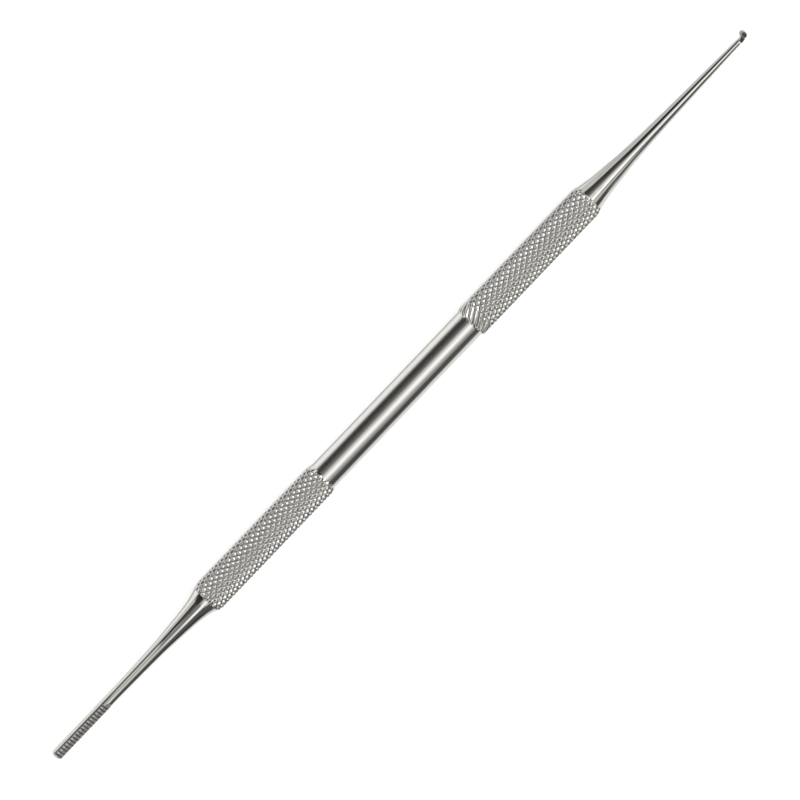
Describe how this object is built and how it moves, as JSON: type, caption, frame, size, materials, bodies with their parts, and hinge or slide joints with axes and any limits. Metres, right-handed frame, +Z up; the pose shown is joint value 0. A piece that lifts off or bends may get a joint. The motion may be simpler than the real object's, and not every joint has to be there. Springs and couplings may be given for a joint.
{
  "type": "pedicure curette",
  "caption": "Slim double-ended pedicure instrument: knurled steel handle, tapering shank with a small round curette cup at one end, straight toothed nail file at the other.",
  "frame": {"origin": "on the tool's axis, halfway along the whole tool", "axes": "+X along the tool towards the curette cup, +Z up with the tool lying on its two grips"},
  "size_m": [0.165, 0.006, 0.006],
  "materials": {
    "handle_steel": "bright turned stainless steel, polished waist, rolled diamond knurl on both grips",
    "curette_steel": "mirror-polished stainless steel",
    "file_steel": "polished stainless steel shank, ground and toothed at the tip"
  },
  "bodies": {
    "root": {"handle": "handle_steel", "curette_end": "curette_steel", "file_end": "file_steel"}
  },
  "joints": []
}
